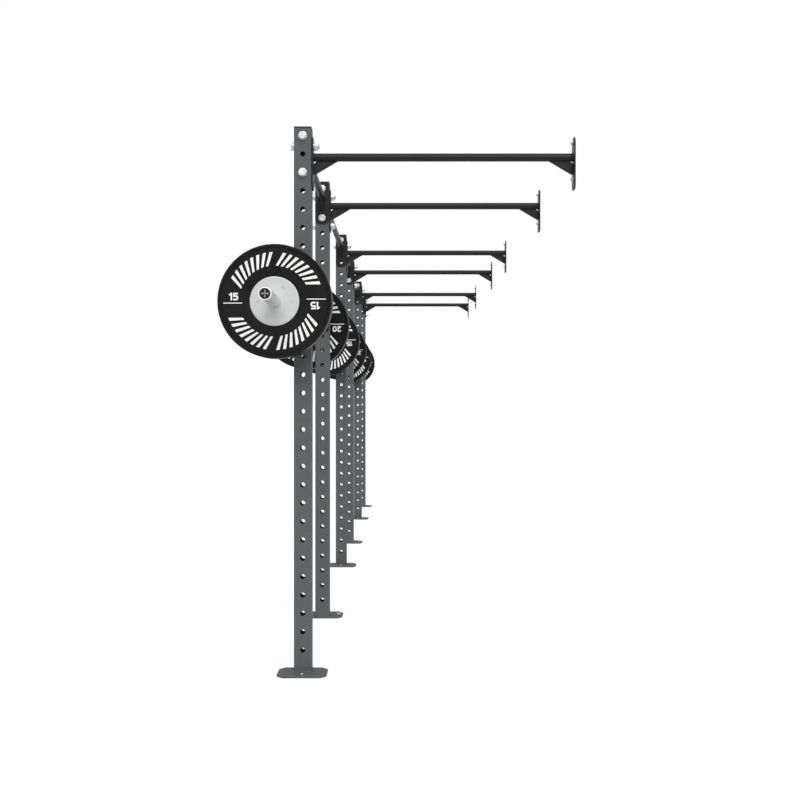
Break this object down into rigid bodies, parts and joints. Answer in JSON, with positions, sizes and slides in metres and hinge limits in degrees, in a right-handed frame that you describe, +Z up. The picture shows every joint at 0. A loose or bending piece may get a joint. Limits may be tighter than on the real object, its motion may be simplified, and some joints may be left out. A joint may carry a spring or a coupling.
{
  "type": "wall-mounted training rig",
  "caption": "Wall-mounted strength training rig: perforated uprights with pull-up bars, crossmembers to the wall, and loaded barbells racked in J-cups.",
  "frame": {"origin": "on the floor, under the middle of the whole rig's bounding box", "axes": "+Z up, +Y along the row of uprights, +X towards the wall"},
  "size_m": [1.4597, 8.232, 2.268],
  "materials": {
    "powder_grey": "satin powder coat, slate grey",
    "powder_black": "fine satin powder coat, black",
    "zinc": "bright zinc plate",
    "chrome": "polished hard chrome",
    "shaft_steel": "satin chrome with knurled grips",
    "hub_steel": "satin turned steel",
    "rubber": "matt moulded rubber",
    "nylon": "moulded black nylon",
    "white_print": "flat white ink"
  },
  "bodies": {
    "frame": {"upright_1": "powder_grey", "upright_2": "powder_grey", "upright_3": "powder_grey", "upright_4": "powder_grey", "upright_5": "powder_grey", "upright_6": "powder_grey", "wall_bar_1": "powder_black", "wall_bar_2": "powder_black", "wall_bar_3": "powder_black", "wall_bar_4": "powder_black", "wall_bar_5": "powder_black", "wall_bar_6": "powder_black", "pullup_bar_1": "powder_black", "pullup_bar_2": "powder_black", "pullup_bar_3": "powder_black", "pullup_bar_4": "powder_black", "pullup_bar_5": "powder_black", "jcup_1": "powder_black", "jcup_2": "powder_black", "jcup_3": "powder_black", "jcup_4": "powder_black", "jcup_5": "powder_black", "jcup_6": "powder_black", "bolt_upper": "zinc", "bolt_lower": "zinc", "nut_upper": "zinc", "nut_lower": "zinc"},
    "barbell_1": {"bar_shaft_1": "shaft_steel"},
    "barbell_2": {"bar_shaft_2": "shaft_steel"},
    "barbell_3": {"bar_shaft_3": "shaft_steel"},
    "sleeve_1_near": {"sleeve_1_near": "chrome"},
    "sleeve_1_far": {"sleeve_1_far": "chrome"},
    "sleeve_2_near": {"sleeve_2_near": "chrome"},
    "sleeve_2_far": {"sleeve_2_far": "chrome"},
    "sleeve_3_near": {"sleeve_3_near": "chrome"},
    "sleeve_3_far": {"sleeve_3_far": "chrome"},
    "plate_20_1_near": {"plate_20_1_near": "rubber", "hub_20_1_near": "hub_steel"},
    "plate_20_1_far": {"plate_20_1_far": "rubber", "hub_20_1_far": "hub_steel"},
    "plate_20_2_near": {"plate_20_2_near": "rubber", "hub_20_2_near": "hub_steel"},
    "plate_20_2_far": {"plate_20_2_far": "rubber", "hub_20_2_far": "hub_steel"},
    "plate_20_3_near": {"plate_20_3_near": "rubber", "hub_20_3_near": "hub_steel"},
    "plate_20_3_far": {"plate_20_3_far": "rubber", "hub_20_3_far": "hub_steel"},
    "plate_15_1_near": {"plate_15_1_near": "rubber", "hub_15_1_near": "hub_steel"},
    "plate_15_1_far": {"plate_15_1_far": "rubber", "hub_15_1_far": "hub_steel"},
    "plate_15_2_near": {"plate_15_2_near": "rubber", "hub_15_2_near": "hub_steel"},
    "plate_15_2_far": {"plate_15_2_far": "rubber", "hub_15_2_far": "hub_steel"},
    "plate_15_3_near": {"plate_15_3_near": "rubber", "hub_15_3_near": "hub_steel"},
    "plate_15_3_far": {"plate_15_3_far": "rubber", "hub_15_3_far": "hub_steel"}
  },
  "joints": [
    {"name": "barbell_1_lift", "type": "slide", "parent": "frame", "child": "barbell_1", "axis": [0, 0, 1], "range_m": [0, 0.25]},
    {"name": "barbell_2_lift", "type": "slide", "parent": "frame", "child": "barbell_2", "axis": [0, 0, 1], "range_m": [0, 0.25]},
    {"name": "barbell_3_lift", "type": "slide", "parent": "frame", "child": "barbell_3", "axis": [0, 0, 1], "range_m": [0, 0.25]},
    {"name": "sleeve_1_near_spin", "type": "hinge", "parent": "barbell_1", "child": "sleeve_1_near", "pos_m": [-0.501, -3.016, 1.5292], "axis": [0, 1, 0], "continuous": true},
    {"name": "sleeve_1_far_spin", "type": "hinge", "parent": "barbell_1", "child": "sleeve_1_far", "pos_m": [-0.501, -3.016, 1.5292], "axis": [0, 1, 0], "continuous": true},
    {"name": "sleeve_2_near_spin", "type": "hinge", "parent": "barbell_2", "child": "sleeve_2_near", "pos_m": [-0.501, 0, 1.5292], "axis": [0, 1, 0], "continuous": true},
    {"name": "sleeve_2_far_spin", "type": "hinge", "parent": "barbell_2", "child": "sleeve_2_far", "pos_m": [-0.501, 0, 1.5292], "axis": [0, 1, 0], "continuous": true},
    {"name": "sleeve_3_near_spin", "type": "hinge", "parent": "barbell_3", "child": "sleeve_3_near", "pos_m": [-0.501, 3.016, 1.5292], "axis": [0, 1, 0], "continuous": true},
    {"name": "sleeve_3_far_spin", "type": "hinge", "parent": "barbell_3", "child": "sleeve_3_far", "pos_m": [-0.501, 3.016, 1.5292], "axis": [0, 1, 0], "continuous": true},
    {"name": "plate_20_1_near_slide", "type": "slide", "parent": "sleeve_1_near", "child": "plate_20_1_near", "axis": [0, -1, 0], "range_m": [0, 0.158]},
    {"name": "plate_20_1_far_slide", "type": "slide", "parent": "sleeve_1_far", "child": "plate_20_1_far", "axis": [0, 1, 0], "range_m": [0, 0.158]},
    {"name": "plate_20_2_near_slide", "type": "slide", "parent": "sleeve_2_near", "child": "plate_20_2_near", "axis": [0, -1, 0], "range_m": [0, 0.158]},
    {"name": "plate_20_2_far_slide", "type": "slide", "parent": "sleeve_2_far", "child": "plate_20_2_far", "axis": [0, 1, 0], "range_m": [0, 0.158]},
    {"name": "plate_20_3_near_slide", "type": "slide", "parent": "sleeve_3_near", "child": "plate_20_3_near", "axis": [0, -1, 0], "range_m": [0, 0.158]},
    {"name": "plate_20_3_far_slide", "type": "slide", "parent": "sleeve_3_far", "child": "plate_20_3_far", "axis": [0, 1, 0], "range_m": [0, 0.158]},
    {"name": "plate_15_1_near_slide", "type": "slide", "parent": "plate_20_1_near", "child": "plate_15_1_near", "axis": [0, -1, 0], "range_m": [0, 0.158]},
    {"name": "plate_15_1_far_slide", "type": "slide", "parent": "plate_20_1_far", "child": "plate_15_1_far", "axis": [0, 1, 0], "range_m": [0, 0.158]},
    {"name": "plate_15_2_near_slide", "type": "slide", "parent": "plate_20_2_near", "child": "plate_15_2_near", "axis": [0, -1, 0], "range_m": [0, 0.158]},
    {"name": "plate_15_2_far_slide", "type": "slide", "parent": "plate_20_2_far", "child": "plate_15_2_far", "axis": [0, 1, 0], "range_m": [0, 0.158]},
    {"name": "plate_15_3_near_slide", "type": "slide", "parent": "plate_20_3_near", "child": "plate_15_3_near", "axis": [0, -1, 0], "range_m": [0, 0.158]},
    {"name": "plate_15_3_far_slide", "type": "slide", "parent": "plate_20_3_far", "child": "plate_15_3_far", "axis": [0, 1, 0], "range_m": [0, 0.158]}
  ]
}
